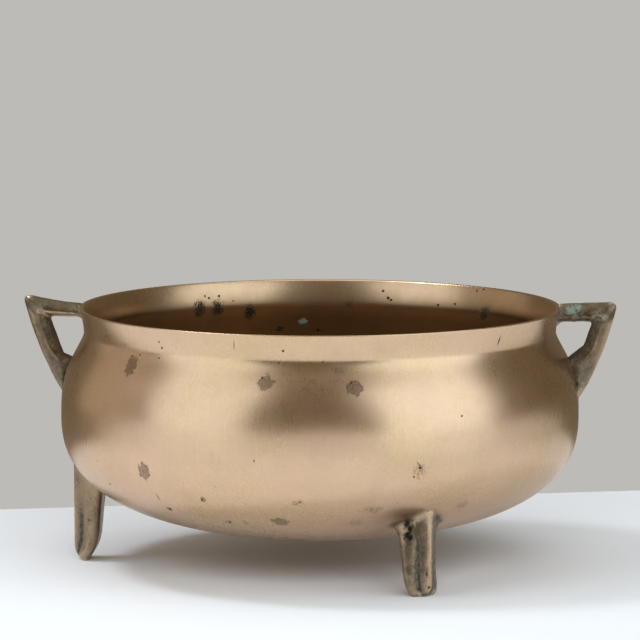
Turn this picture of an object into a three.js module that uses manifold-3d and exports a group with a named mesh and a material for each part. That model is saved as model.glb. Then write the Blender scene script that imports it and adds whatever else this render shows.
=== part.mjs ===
// A cast bronze cooking cauldron, all in one casting: a wide, low-bellied bowl with a short upright
// collar, two angular handles on opposite sides, and three short fluted feet of triangular section.
// Millimetres, +Z up. The origin is on the ground under the middle of the bowl, and the handles lie
// along X, with one foot under the handle on the -X side.
import * as THREE from "three";
import { mergeVertices } from "three/addons/utils/BufferGeometryUtils.js";
import Module from "manifold-3d";

const wasm = await Module();
wasm.setup();

// Bowl: radii are to the outside
const RIM_RADIUS = 181;
const RIM_HEIGHT = 194.4;
const RIM_WALL = 3;
const COLLAR_HEIGHT = 19;
const COLLAR_FLARE = 1.8; // how late the collar turns outwards
const NECK_RADIUS = 177.4;
const BELLY_RADIUS = 194.7;
const BELLY_HEIGHT = 113.6;
const BASE_CLEARANCE = 25.3;
const WALL = 4;
const LOWER_FULLNESS = 2.45; // 2 is an ellipse, more is squarer
const SHOULDER_FULLNESS = 2.9; // how far up the belly stays wide
const SHOULDER_SWEEP = 1.54; // how softly the shoulder runs into the collar

// Handles: a level arm from the rim and a brace that runs back down to the belly
const HANDLE_WIDTH = 15;
const HANDLE_EDGE = 1.45; // 1 is a sharp diamond section, 2 an oval
const ARM_UNDERSIDE = 9.5; // below the rim
const ARM_RIDGE_DROP = 0.35; // the arm's side ridge lies below the middle of its section
const BRACE_SLOPE = 20.2; // degrees from upright, at the corner
const BRACE_BOW = 3;
const BRACE_END_HEIGHT = 127;
const CORNER_ROUND = 9;
const HOLE_ROUND = 3;
const ARM_FILLET = 7;
const ARM_FILLET_DROP = 3.6;
const HANDLE_ROOT_SPREAD = 3; // how far the bar widens sideways where it meets the bowl

// Feet: a ridge faces outwards, with a fluted face on each side of it
const FOOT_DEPTH = 18.3; // ridge to inner face at the ground, before the toe is rounded
const FOOT_DEPTH_GAIN = 0.085; // for each millimetre up
const FOOT_WIDTH = 25.6;
const FOOT_WIDTH_GAIN = 0.09;
const RIDGE_ROUND = 3.4;
const HEEL_ROUND = 5;
const TOE_HEIGHT = 11;
const TOE_INSET = 5.5;
const TOE_SIDE_INSET = 3.5;
const HEEL_HEIGHT = 20;
const FLUTE_DEPTH = 2.2;
const FLUTE_TOP = 44;
const FLUTE_FOOT = 2; // it runs out this far above the ground
const FLUTE_WIDTH = 0.38; // share of the face, at the ground
const FLUTE_TOP_WIDTH = 0.24;
const FLUTE_PLACE = 0.56; // from the ridge towards the heel, at the ground
const FLUTE_TOP_PLACE = 0.46;
const FOOT_FILLET = 17;
const HEEL_SPREAD = 5; // how far the heels widen where the foot meets the bowl
const RIDGE_SPREAD = 1;

// The two handles and three feet were shaped by hand, so no two are quite alike. A handle's reach is
// from the rim to its corner before rounding, its rises are above the rim, and its web fills the
// angle between the brace and the belly between two heights.
const HANDLES = [
  {
    angle: 0,
    reach: 43.5,
    tipRise: 5.7,
    rootRise: 3.7,
    sag: 0,
    brace: 13.6,
    webTop: 167,
    webFoot: 157.5,
  },
  {
    angle: 180,
    reach: 45.1,
    tipRise: 7.4,
    rootRise: 0.4,
    sag: 0.7,
    brace: 14.6,
    webTop: 157,
    webFoot: 154.5,
  },
];
const FEET = [
  { angle: 180, ridge: 186.8, twist: 0, heelInset: 7 },
  { angle: 302.2, ridge: 173.5, twist: 5, heelInset: 4 },
  { angle: 66, ridge: 186, twist: 0, heelInset: 5 },
];

// How finely the faceted surfaces are cut
const ROUND_STEPS = 80;
const BELLY_STEPS = 12;
const SHOULDER_STEPS = 6;
const COLLAR_STEPS = 3;
const HANDLE_SECTION_STEPS = 16;
const ARM_STEPS = 5;
const CORNER_STEPS = 4;
const BRACE_STEPS = [3, 2, 3]; // beside the hole, along the web, and below it
const ARC_STEPS = 2;
const TOE_LEVELS = [0, 0.06, 0.2, 0.45, 0.8];
const FILLET_LEVELS = [1, 0.6, 0.3, 0.1, 0];

const BRONZE = new THREE.MeshStandardMaterial({
  color: 0x9a7b54,
  roughness: 0.38,
  metalness: 1,
});

const NECK_HEIGHT = RIM_HEIGHT - COLLAR_HEIGHT;

const radians = (degrees) => (degrees * Math.PI) / 180;
const mix = (a, b, t) => a + (b - a) * t;
const point = (x, y) => new THREE.Vector2(x, y);

// Radius of the bowl's surface at a height, for the outside (wall 0) or the inside
function bowlRadius(height, wall = 0) {
  const base = BASE_CLEARANCE + wall;
  const belly = BELLY_RADIUS - wall;
  const neck = NECK_RADIUS - wall;
  const rim = RIM_RADIUS - (wall > 0 ? RIM_WALL : 0);
  if (height <= base) return 0;
  if (height < BELLY_HEIGHT) {
    const down = (BELLY_HEIGHT - height) / (BELLY_HEIGHT - base);
    return belly * (1 - down ** LOWER_FULLNESS) ** (1 / LOWER_FULLNESS);
  }
  if (height < NECK_HEIGHT) {
    const up = (height - BELLY_HEIGHT) / (NECK_HEIGHT - BELLY_HEIGHT);
    return mix(neck, belly, (1 - up ** SHOULDER_FULLNESS) ** SHOULDER_SWEEP);
  }
  const up = Math.min(1, (height - NECK_HEIGHT) / COLLAR_HEIGHT);
  return mix(neck, rim, up ** COLLAR_FLARE);
}

// Height of the underside of the bowl at a radius
function undersideHeight(radius) {
  const out = Math.min(1, radius / BELLY_RADIUS);
  const down = (1 - out ** LOWER_FULLNESS) ** (1 / LOWER_FULLNESS);
  return BELLY_HEIGHT - (BELLY_HEIGHT - BASE_CLEARANCE) * down;
}

// The bowl's outline from the middle of its base to the rim, as points (radius, height)
function bowlOutline(wall) {
  const base = BASE_CLEARANCE + wall;
  const heights = [];
  for (let i = 1; i <= BELLY_STEPS; i++) {
    const turn = (i / BELLY_STEPS) * (Math.PI / 2);
    const down = Math.max(0, Math.cos(turn)) ** (2 / LOWER_FULLNESS);
    heights.push(BELLY_HEIGHT - (BELLY_HEIGHT - base) * down);
  }
  for (let i = 1; i <= SHOULDER_STEPS; i++)
    heights.push(mix(BELLY_HEIGHT, NECK_HEIGHT, i / SHOULDER_STEPS));
  for (let i = 1; i <= COLLAR_STEPS; i++)
    heights.push(mix(NECK_HEIGHT, RIM_HEIGHT, i / COLLAR_STEPS));
  return [point(0, base), ...heights.map((z) => point(bowlRadius(z, wall), z))];
}

// A solid of revolution about Z from points (radius, height) that start and end on the axis
function turned(points) {
  const lathe = new THREE.LatheGeometry(points, ROUND_STEPS);
  return lathe.rotateX(Math.PI / 2);
}

// A closed solid through rings of equally many points, capped at both ends
function lofted(rings) {
  const count = rings[0].length;
  const positions = rings.flat().flatMap((p) => [p.x, p.y, p.z]);
  const faces = [];
  for (let i = 0; i + 1 < rings.length; i++)
    for (let j = 0; j < count; j++) {
      const a = i * count + j;
      const b = i * count + ((j + 1) % count);
      faces.push(a, b, b + count, a, b + count, a + count);
    }
  const last = (rings.length - 1) * count;
  for (let j = 1; j + 1 < count; j++) {
    faces.push(0, j + 1, j);
    faces.push(last, last + j, last + j + 1);
  }
  const geometry = new THREE.BufferGeometry();
  const attribute = new THREE.Float32BufferAttribute(positions, 3);
  geometry.setAttribute("position", attribute);
  geometry.setIndex(faces);
  return geometry;
}

// How much of a fillet is present at a distance from the surface that it runs out on
function fillet(distance, size) {
  const near = 1 - Math.min(1, Math.max(0, distance) / size);
  return 1 - Math.sqrt(1 - near * near);
}

// A point inside the wall of the bowl at a height
const withinWall = (height) => point(bowlRadius(height) - WALL / 2, height);

// Points along a line of corners, spaced evenly within each of its stretches
function alongPath(corners, steps) {
  const points = [];
  for (let k = 0; k < steps.length; k++)
    for (let i = 1; i <= steps[k]; i++)
      points.push(corners[k].clone().lerp(corners[k + 1], i / steps[k]));
  return points;
}

// A handle's stations, from the rim to the belly. Each pairs a point on the outer edge with one on
// the inner edge, as (radius, height), and says how low its side ridge lies.
function handleStations({ reach, tipRise, rootRise, sag, brace, webTop, webFoot }) {
  const root = point(RIM_RADIUS - RIM_WALL / 2, RIM_HEIGHT + rootRise);
  const tip = point(RIM_RADIUS + reach, RIM_HEIGHT + tipRise);
  const slope = radians(BRACE_SLOPE);
  const down = point(-Math.sin(slope), -Math.cos(slope));
  const underside = RIM_HEIGHT - ARM_UNDERSIDE;
  const armEnd = tip.clone().add(root.clone().sub(tip).setLength(CORNER_ROUND));
  const braceStart = tip.clone().addScaledVector(down, CORNER_ROUND);

  // The brace's inner edge as a straight line, by height
  const braceInner = (height) =>
    point(
      tip.x -
        (tip.y - height) * Math.tan(slope) -
        brace / Math.cos(slope),
      height,
    );
  const hole = braceInner(underside);
  const holeStart = point(hole.x - HOLE_ROUND, underside);
  const holeEnd = braceInner(underside - HOLE_ROUND);
  const web = braceInner(webTop);

  // The outer edge: a sagging arm, a rounded corner and a bowed brace
  const armMiddle = root.clone().lerp(armEnd, 0.5);
  armMiddle.y -= 2 * sag;
  const arm = new THREE.QuadraticBezierCurve(root, armMiddle, armEnd);
  const corner = new THREE.QuadraticBezierCurve(armEnd, tip, braceStart);
  const end = point(bowlRadius(BRACE_END_HEIGHT), BRACE_END_HEIGHT);
  const braceMiddle = braceStart.clone().lerp(end, 0.6);
  braceMiddle.x += 2 * BRACE_BOW;
  const braceOuter = new THREE.QuadraticBezierCurve(braceStart, braceMiddle, end);
  const holeCorner = new THREE.QuadraticBezierCurve(holeStart, hole, holeEnd);

  const stations = [];
  for (let i = 0; i < ARM_STEPS; i++) {
    const t = i / ARM_STEPS;
    const inner = withinWall(underside).lerp(holeStart, t);
    inner.y -=
      ARM_FILLET_DROP * fillet(inner.x - bowlRadius(underside), ARM_FILLET);
    if (i === 0) inner.x = withinWall(inner.y).x;
    stations.push({ outer: arm.getPoint(t), inner, drop: ARM_RIDGE_DROP });
  }
  for (let i = 0; i <= CORNER_STEPS; i++) {
    const t = i / CORNER_STEPS;
    const drop = ARM_RIDGE_DROP * (1 - t);
    stations.push({ outer: corner.getPoint(t), inner: holeCorner.getPoint(t), drop });
  }
  // Below the web the inner edge runs on inside the wall
  const foot = point(bowlRadius(webFoot), webFoot);
  const low = BRACE_END_HEIGHT + brace / 4;
  const inners = alongPath([holeEnd, web, foot, withinWall(low)], BRACE_STEPS);
  const count = inners.length;
  for (let i = 0; i < count; i++) {
    const inner = inners[i];
    if (inner.y < webFoot) inner.x = withinWall(inner.y).x;
    stations.push({ outer: braceOuter.getPoint((i + 1) / count), inner, drop: 0 });
  }
  stations.push({
    outer: withinWall(BRACE_END_HEIGHT - WALL / 2),
    inner: withinWall(BRACE_END_HEIGHT + WALL / 2),
    drop: 0,
  });
  return stations;
}

// One ring of a handle: a diamond with rounded edges between a station's two points, widened where
// it nears the bowl
function handleRing({ outer, inner, drop }) {
  const middle = outer.clone().add(inner).multiplyScalar(0.5);
  const half = outer.clone().sub(inner).multiplyScalar(0.5);
  const room = middle.x - bowlRadius(middle.y);
  const side = HANDLE_WIDTH / 2 + HANDLE_ROOT_SPREAD * fillet(room, ARM_FILLET);
  const power = 2 / HANDLE_EDGE;
  const ring = [];
  for (let i = 0; i < HANDLE_SECTION_STEPS; i++) {
    const turn = (i / HANDLE_SECTION_STEPS) * 2 * Math.PI;
    const c = Math.cos(turn);
    const s = Math.sin(turn);
    const along = Math.sign(c) * Math.abs(c) ** power;
    const u = along - drop * (1 - along * along);
    const v = -Math.sign(s) * Math.abs(s) ** power;
    ring.push(
      new THREE.Vector3(middle.x + half.x * u, side * v, middle.y + half.y * u),
    );
  }
  return ring;
}

function handle(settings) {
  const rings = handleStations(settings).map(handleRing);
  return lofted(rings).rotateZ(radians(settings.angle));
}

// The direction, as an angle, that the straight side between two circles of an outline faces
function facing(from, to) {
  const run = to.centre.clone().sub(from.centre);
  const lean = Math.asin((from.radius - to.radius) / run.length());
  return run.angle() - Math.PI / 2 + lean;
}

// Points round a circle between two facing directions
function arcPoints({ centre, radius }, start, finish) {
  const turn = (finish - start + 4 * Math.PI) % (2 * Math.PI);
  const points = [];
  for (let i = 0; i <= ARC_STEPS; i++) {
    const angle = start + (turn * i) / ARC_STEPS;
    points.push(
      point(Math.cos(angle), Math.sin(angle)).multiplyScalar(radius).add(centre),
    );
  }
  return points;
}

// The points of a flute cut along the straight side that joins two points of an outline
function flutePoints(from, to, place, width, depth) {
  const inwards = point(from.y - to.y, to.x - from.x).normalize();
  return [-1, -0.5, 0, 0.5, 1].map((across) => {
    const t = place + (across * width) / 2;
    const sink = depth * (1 - across * across);
    return from.clone().lerp(to, t).addScaledVector(inwards, sink);
  });
}

// A foot's section at a height, in (outwards, sideways) coordinates from the bowl's axis: a
// triangle with rounded corners, fluted on its two outer faces
function footSection(height, ridge, heelInset) {
  const toe = Math.max(0, 1 - height / TOE_HEIGHT) ** 2.4;
  const heel = Math.max(0, 1 - height / HEEL_HEIGHT) ** 1.8;
  const front = ridge - TOE_INSET * toe;
  const back = ridge - FOOT_DEPTH - FOOT_DEPTH_GAIN * height + heelInset * heel;
  const halfWidth =
    (FOOT_WIDTH + FOOT_WIDTH_GAIN * height) / 2 - TOE_SIDE_INSET * toe;
  const most = 0.38 * (front - back);
  const ridgeRound = Math.min(RIDGE_ROUND, most);
  const heelRound = Math.min(HEEL_ROUND, most);
  const apex = { centre: point(front - ridgeRound, 0), radius: ridgeRound };
  const left = {
    centre: point(back + heelRound, halfWidth - heelRound),
    radius: heelRound,
  };
  const right = {
    centre: point(back + heelRound, heelRound - halfWidth),
    radius: heelRound,
  };
  const toLeft = facing(apex, left);
  const toRight = facing(left, right);
  const toApex = facing(right, apex);
  const apexArc = arcPoints(apex, toApex, toLeft);
  const leftArc = arcPoints(left, toLeft, toRight);
  const rightArc = arcPoints(right, toRight, toApex);

  const rise = Math.min(1, Math.max(0, height - FLUTE_FOOT) / TOE_HEIGHT);
  const fall = Math.min(1, (1.6 * Math.max(0, FLUTE_TOP - height)) / FLUTE_TOP);
  const depth = FLUTE_DEPTH * Math.min(1, 3 * rise, fall);
  const up = Math.min(1, height / FLUTE_TOP);
  const width = mix(FLUTE_WIDTH, FLUTE_TOP_WIDTH, up);
  const place = mix(FLUTE_PLACE, FLUTE_TOP_PLACE, up);
  return [
    ...apexArc,
    ...flutePoints(apexArc.at(-1), leftArc[0], place, width, depth),
    ...leftArc,
    ...rightArc,
    ...flutePoints(rightArc.at(-1), apexArc[0], 1 - place, width, depth),
  ];
}

// The heights of one upright line of points on a foot, from the ground into the bowl's wall
function footHeights(top) {
  const toe = TOE_LEVELS.map((share) => share * TOE_HEIGHT);
  const start = top - FOOT_FILLET;
  const shaft = [mix(TOE_HEIGHT, start, 0.3), mix(TOE_HEIGHT, start, 0.65)];
  const flare = FILLET_LEVELS.map((share) => top - share * FOOT_FILLET);
  return [...toe, ...shaft, ...flare, top + WALL];
}

// A foot standing on the ground, with its top sunk into the bowl's wall
function foot({ angle, ridge, twist, heelInset }) {
  const middle = point(ridge - FOOT_DEPTH / 2, 0);
  const placed = (at) => at.clone().rotateAround(middle, radians(twist));
  const section = (height) => footSection(height, ridge, heelInset);
  const columns = section(FOOT_FILLET).map((_, j) => {
    const high = placed(section(BELLY_HEIGHT / 2)[j]);
    const top = undersideHeight(high.length());
    return footHeights(top).map((height) => {
      const at = section(height)[j];
      const flare = fillet(top - height, FOOT_FILLET);
      at.x += (RIDGE_SPREAD * flare * (at.x - middle.x)) / (FOOT_DEPTH / 2);
      at.y += (HEEL_SPREAD * flare * at.y) / (FOOT_WIDTH / 2);
      const { x, y } = placed(at);
      return new THREE.Vector3(x, y, height);
    });
  });
  const rings = columns[0].map((_, k) => columns.map((column) => column[k]));
  return lofted(rings).rotateZ(radians(angle));
}

// A closed geometry as a solid for cutting and joining
function solidOf(geometry) {
  const bare = geometry.clone();
  bare.deleteAttribute("normal");
  bare.deleteAttribute("uv");
  const merged = mergeVertices(bare, 1e-4);
  return new wasm.Manifold(
    new wasm.Mesh({
      numProp: 3,
      vertProperties: merged.getAttribute("position").array,
      triVerts: new Uint32Array(merged.index.array),
    }),
  );
}

function geometryOf(solid) {
  const mesh = solid.getMesh();
  const geometry = new THREE.BufferGeometry();
  geometry.setAttribute(
    "position",
    new THREE.BufferAttribute(mesh.vertProperties, 3),
  );
  geometry.setIndex(new THREE.BufferAttribute(mesh.triVerts, 1));
  geometry.computeVertexNormals();
  return geometry;
}

// The bowl filled to its rim, and the hollow that is then taken out of it and of the limbs' roots
function filledBowl() {
  return turned([...bowlOutline(0), new THREE.Vector2(0, RIM_HEIGHT)]);
}

function hollow() {
  const top = RIM_HEIGHT + HANDLE_WIDTH;
  return turned([
    ...bowlOutline(WALL),
    new THREE.Vector2(RIM_RADIUS - RIM_WALL, top),
    new THREE.Vector2(0, top),
  ]);
}

function cauldron() {
  let casting = solidOf(filledBowl());
  for (const settings of HANDLES) casting = casting.add(solidOf(handle(settings)));
  for (const settings of FEET) casting = casting.add(solidOf(foot(settings)));
  const mesh = new THREE.Mesh(
    geometryOf(casting.subtract(solidOf(hollow()))),
    BRONZE,
  );
  mesh.name = "cauldron";
  return mesh;
}

const part = new THREE.Group();
part.add(cauldron());

export default part;
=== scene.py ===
# %% [markdown]
# # A cast bronze tripod cauldron
#
# The real pot was cast in one pour: a wide, thin-walled bowl with a short collar, two angular
# handles and three short fluted feet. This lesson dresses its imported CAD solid. The solid is
# faceted, so one finer mesh with the same forms takes its place: the bowl is turned from a profile
# by Geometry Nodes, the handles and feet are lofted, and all are joined into one skin of bronze.

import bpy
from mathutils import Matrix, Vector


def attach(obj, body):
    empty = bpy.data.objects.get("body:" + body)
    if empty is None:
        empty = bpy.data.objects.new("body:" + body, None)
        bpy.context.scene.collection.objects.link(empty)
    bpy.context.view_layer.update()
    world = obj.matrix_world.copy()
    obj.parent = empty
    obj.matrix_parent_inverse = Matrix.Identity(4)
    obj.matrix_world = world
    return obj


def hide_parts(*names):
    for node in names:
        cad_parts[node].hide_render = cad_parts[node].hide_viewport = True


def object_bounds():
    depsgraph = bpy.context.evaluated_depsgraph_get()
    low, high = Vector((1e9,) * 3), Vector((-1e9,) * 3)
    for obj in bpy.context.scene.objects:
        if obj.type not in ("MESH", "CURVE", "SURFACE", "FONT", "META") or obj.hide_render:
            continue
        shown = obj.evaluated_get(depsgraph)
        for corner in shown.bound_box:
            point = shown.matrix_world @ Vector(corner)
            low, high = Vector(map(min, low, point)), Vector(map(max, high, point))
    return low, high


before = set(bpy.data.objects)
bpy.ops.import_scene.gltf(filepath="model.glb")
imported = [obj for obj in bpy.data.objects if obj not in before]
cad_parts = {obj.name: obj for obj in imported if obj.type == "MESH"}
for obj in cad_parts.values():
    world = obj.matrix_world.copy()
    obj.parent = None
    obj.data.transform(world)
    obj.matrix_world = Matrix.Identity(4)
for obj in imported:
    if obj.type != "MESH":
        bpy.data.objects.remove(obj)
cad_low, cad_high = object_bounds()
print("casting box in mm:", [round(1000 * v, 1) for v in (*cad_low, *cad_high)])

# %% Tools and units
import math

import bmesh
import bpy
import numpy as np
from mathutils import Matrix, Vector, kdtree, noise
from mathutils.bvhtree import BVHTree

MM = 0.001  # the forms below are worked out in millimetres, and Blender's unit is a metre

# %% [markdown]
# ## Camera
#
# A long lens keeps the rim's ellipse flat and the feet undistorted. The camera stands nearly four
# metres away, a little to the right of straight in front, and looks slightly down, so the mouth
# shows as a thin ellipse. Its place was worked out from the rim, the belly's outline and the feet.

# %% Camera
CAMERA_TURN = 5.0  # degrees round the pot from straight in front
CAMERA_PITCH = 6.935  # degrees below the horizon
CAMERA_AWAY = 3.75  # metres, along the floor
CAMERA_HEIGHT = 0.6401
PICTURE = 640  # pixels along each side of the picture
FOCAL = 5029.5  # focal length in the same pixels
SENSOR = 36.0  # millimetres
FAR_CLIP = 50

turn, pitch = math.radians(CAMERA_TURN), math.radians(CAMERA_PITCH)
camera_data = bpy.data.cameras.new("camera")
camera_data.sensor_width = SENSOR
camera_data.lens = FOCAL / PICTURE * SENSOR
camera_data.clip_end = FAR_CLIP
camera = bpy.data.objects.new("camera", camera_data)
camera.location = (CAMERA_AWAY * math.sin(turn), -CAMERA_AWAY * math.cos(turn), CAMERA_HEIGHT)
camera.rotation_euler = (math.radians(90 - CAMERA_PITCH), 0, turn)
bpy.context.scene.collection.objects.link(camera)
bpy.context.scene.camera = camera
print("lens", round(camera_data.lens, 1), "mm")

RIGHT = Vector((math.cos(turn), math.sin(turn), 0))
LEVEL = Vector((-math.sin(turn), math.cos(turn), 0))  # away from the camera, along the floor
SIGHT = (LEVEL * math.cos(pitch) - Vector((0, 0, math.sin(pitch)))).normalized()
UP = RIGHT.cross(SIGHT)

# %% [markdown]
# ## Floor and light
#
# Polished bronze shows mostly what stands round it. Two tall soft boxes in front, left and right of
# the camera, give the belly its two upright bands of light, and the unlit room between them gives
# the brown band in the middle. A wide sheet of light overhead darkens the floor only under the
# pot, and a small lamp, high on the left, throws the clearer shadow to the right. The pale floor
# lights the belly from below, which is why its lower half is so bright. A dim, warm card far round
# on the left softens that edge of the belly, and a fill in front opens up the shadow.

# %% Floor and surroundings
bpy.context.scene.view_settings.view_transform = "Standard"
FLOOR_COLOUR, FLOOR_ROUGHNESS = (0.85, 0.885, 0.925, 1), 0.7
FLOOR_NEAR, FLOOR_SIDE = -5, 3  # metres from the pot, towards the camera and to each side
FLOOR_DROP = 0.0002  # keeps the floor just clear of the feet
BACK_EDGE, BACK_SLANT = 0.30, 0.19  # how far behind the pot the floor ends, and more per metre right


def floor_point(right, away):
    return RIGHT * right + LEVEL * away - Vector((0, 0, FLOOR_DROP))


corners = [floor_point(side, FLOOR_NEAR) for side in (-FLOOR_SIDE, FLOOR_SIDE)]
corners += [floor_point(side, BACK_EDGE + side * BACK_SLANT) for side in (FLOOR_SIDE, -FLOOR_SIDE)]
floor_mesh = bpy.data.meshes.new("floor")
floor_mesh.from_pydata(corners, [], [(0, 1, 2, 3)])
floor = bpy.data.objects.new("floor", floor_mesh)
bpy.context.scene.collection.objects.link(floor)

floor_finish = bpy.data.materials.new("pale_floor")
floor_finish.use_nodes = True
floor_shader = floor_finish.node_tree.nodes["Principled BSDF"]
floor_shader.inputs["Base Color"].default_value = FLOOR_COLOUR
floor_shader.inputs["Roughness"].default_value = FLOOR_ROUGHNESS
floor_mesh.materials.append(floor_finish)

ROOM_LIGHT = (0.160, 0.126, 0.082, 1)  # what the bronze reflects between the lamps
BACKGROUND = (0.505, 0.495, 0.47, 1)  # what the camera sees beyond the floor
world = bpy.data.worlds.new("studio")
bpy.context.scene.world = world
world.use_nodes = True
sky = world.node_tree
sky.nodes.clear()
kinds = ("Background", "Background", "LightPath", "MixShader", "OutputWorld")
room, wall, ray, blend, out = (sky.nodes.new("ShaderNode" + kind) for kind in kinds)
room.inputs["Color"].default_value = ROOM_LIGHT
wall.inputs["Color"].default_value = BACKGROUND
for end, entry in zip((ray.outputs["Is Camera Ray"], room.outputs[0], wall.outputs[0]), blend.inputs):
    sky.links.new(end, entry)
sky.links.new(blend.outputs[0], out.inputs["Surface"])


# %% Soft boxes
AIM_HEIGHT = 0.1  # the lamps point at this height above the floor
SOFT_BOXES = {  # degrees right of the camera and up, metres away, wide and tall, brightness, tint
    "left_box": (-55, 19, 2.2, 1.9, 2.4, 1.21, (0.88, 1.0, 1.10)),
    "right_box": (53, 19, 2.3, 2.35, 2.5, 1.45, (0.86, 1.0, 1.10)),
    "overhead": (0, 90, 2.2, 2.6, 2.6, 1.15, (0.97, 1.0, 1.02)),
    "high_lamp": (-92, 60, 2.0, 0.4, 0.4, 22, (0.96, 1.0, 1.06)),
    "side_card": (-109, 14, 2.5, 1.9, 1.7, 0.32, (1.0, 0.93, 0.84)),
    "front_fill": (8, 26, 3.0, 2.0, 1.0, 6.4, (0.97, 1.0, 1.03)),
}


def soft_box(name, side, rise, away, width, height, brightness, tint):
    """A rectangular light that faces the pot. Its side and rise are angles seen from the pot."""
    a, e = math.radians(side), math.radians(rise)
    towards = (RIGHT * math.sin(a) - LEVEL * math.cos(a)) * math.cos(e) + Vector((0, 0, math.sin(e)))
    data = bpy.data.lights.new(name, "AREA")
    data.shape = "RECTANGLE"
    data.size, data.size_y = width, height
    data.energy = brightness * math.pi * width * height
    data.color = tint
    lamp = bpy.data.objects.new(name, data)
    lamp.location = Vector((0, 0, AIM_HEIGHT)) + towards * away
    lamp.rotation_euler = (-towards).to_track_quat("-Z", "Y").to_euler()
    bpy.context.scene.collection.objects.link(lamp)
    print(name, "at", [round(v, 2) for v in lamp.location], "gives", round(data.energy, 1), "W")
    return lamp


lamps = {name: soft_box(name, *values) for name, values in SOFT_BOXES.items()}
lamps["front_fill"].visible_glossy = False  # it leaves no reflection in the bronze

# %% [markdown]
# ## The bowl
#
# The bowl is a form with a rule: a profile turned round an upright axis. Below its widest place the
# profile is a squarish ellipse, above it sweeps in to the neck, and then a short collar flares to a
# flat lip. It could be spun with a Screw modifier, but a Geometry Nodes tree also lets the wall
# wander a little, as a wall does that was shaped in clay by hand.

# %% The bowl's profile
# All in millimetres, and the same as in the CAD solid
RIM_RADIUS, RIM_HEIGHT, RIM_WALL = 181.0, 194.4, 3.0
COLLAR_HEIGHT, COLLAR_FLARE, NECK_RADIUS = 19.0, 1.8, 177.4
BELLY_RADIUS, BELLY_HEIGHT, BASE_CLEARANCE, WALL = 194.7, 113.6, 25.3, 4.0
LOWER_FULLNESS, SHOULDER_FULLNESS, SHOULDER_SWEEP = 2.45, 2.9, 1.54
NECK_HEIGHT = RIM_HEIGHT - COLLAR_HEIGHT
LIP_ROUND = 0.9
FINE_BELOW_NECK = 10.0  # the closer spacing starts this far below the neck
LOW_POINTS, HIGH_POINTS = 500, 200


def bowl_radius(height, wall=0.0):
    """Radius of the bowl's surface at a height, outside or a wall further in."""
    height = np.asarray(height, float)
    base, belly, neck = BASE_CLEARANCE + wall, BELLY_RADIUS - wall, NECK_RADIUS - wall
    rim = RIM_RADIUS - (RIM_WALL if wall else 0)
    down = np.clip((BELLY_HEIGHT - height) / (BELLY_HEIGHT - base), 0, 1)
    low = belly * (1 - down**LOWER_FULLNESS) ** (1 / LOWER_FULLNESS)
    up = np.clip((height - BELLY_HEIGHT) / (NECK_HEIGHT - BELLY_HEIGHT), 0, 1)
    shoulder = neck + (belly - neck) * (1 - up**SHOULDER_FULLNESS) ** SHOULDER_SWEEP
    flare = np.clip((height - NECK_HEIGHT) / COLLAR_HEIGHT, 0, 1)
    collar = neck + (rim - neck) * flare**COLLAR_FLARE
    return np.where(height < BELLY_HEIGHT, low, np.where(height < NECK_HEIGHT, shoulder, collar))


def underside_height(radius):
    out_share = np.minimum(1, np.asarray(radius, float) / BELLY_RADIUS)
    down = (1 - out_share**LOWER_FULLNESS) ** (1 / LOWER_FULLNESS)
    return BELLY_HEIGHT - (BELLY_HEIGHT - BASE_CLEARANCE) * down


def bent(a, b, c, t):
    """A point along the curve from a to c that is pulled towards b."""
    return (1 - t) ** 2 * np.asarray(a) + 2 * t * (1 - t) * np.asarray(b) + t**2 * np.asarray(c)


def spaced(line, step):
    """The same line with its points evenly spaced."""
    run = np.concatenate([[0], np.cumsum(np.hypot(*np.diff(line, axis=0).T))])
    at = np.linspace(0, run[-1], int(round(run[-1] / step)) + 1)
    return np.column_stack([np.interp(at, run, line[:, k]) for k in (0, 1)])


def bowl_line(wall, coarse, fine):
    """The profile from the middle of the base up to the lip, finer near the collar."""
    angle = np.linspace(0, math.pi / 2, LOW_POINTS)
    power = 2 / LOWER_FULLNESS
    heights = BELLY_HEIGHT - (BELLY_HEIGHT - BASE_CLEARANCE - wall) * np.cos(angle) ** power
    low = np.column_stack([(BELLY_RADIUS - wall) * np.sin(angle) ** power, heights])
    waist = NECK_HEIGHT - FINE_BELOW_NECK
    high = np.linspace(BELLY_HEIGHT, waist, HIGH_POINTS)[1:]
    top = np.linspace(waist, RIM_HEIGHT - LIP_ROUND, HIGH_POINTS)
    body = np.vstack([low, np.column_stack([bowl_radius(high, wall), high])])
    collar = np.column_stack([bowl_radius(top, wall), top])
    return np.vstack([spaced(body, coarse), spaced(collar, fine)[1:]])


outside = bowl_line(0, coarse=3.1, fine=1.3)
inside_line = bowl_line(WALL, coarse=4.4, fine=1.6)
steps = np.linspace(0, 1, 5)[1:-1]
outer_corner, inner_corner = (RIM_RADIUS, RIM_HEIGHT), (RIM_RADIUS - RIM_WALL, RIM_HEIGHT)
lip_out, lip_in = (RIM_RADIUS - LIP_ROUND, RIM_HEIGHT), (inner_corner[0] + LIP_ROUND, RIM_HEIGHT)
lip = [bent(outside[-1], outer_corner, lip_out, t) for t in steps] + [lip_out, lip_in]
lip += [bent(lip_in, inner_corner, inside_line[-1], t) for t in steps]
profile = np.vstack([outside, lip, inside_line[::-1]])
profile[0, 0] = profile[-1, 0] = 0
print("profile points", len(profile))


# %% Helpers for node trees
def put(tree, kind, inputs=None, **settings):
    """Adds a node, sets its properties, and fills its inputs with values or links."""
    node = tree.nodes.new(kind)
    for key, value in settings.items():
        setattr(node, key, value)
    for key, value in (inputs or {}).items():
        if isinstance(value, bpy.types.NodeSocket):
            tree.links.new(value, node.inputs[key])
        else:
            node.inputs[key].default_value = value
    return node


def sum_of(tree, operation, a, b=0.0, clamp=False):
    return put(tree, "ShaderNodeMath", {0: a, 1: b}, operation=operation, use_clamp=clamp).outputs[0]


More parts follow.
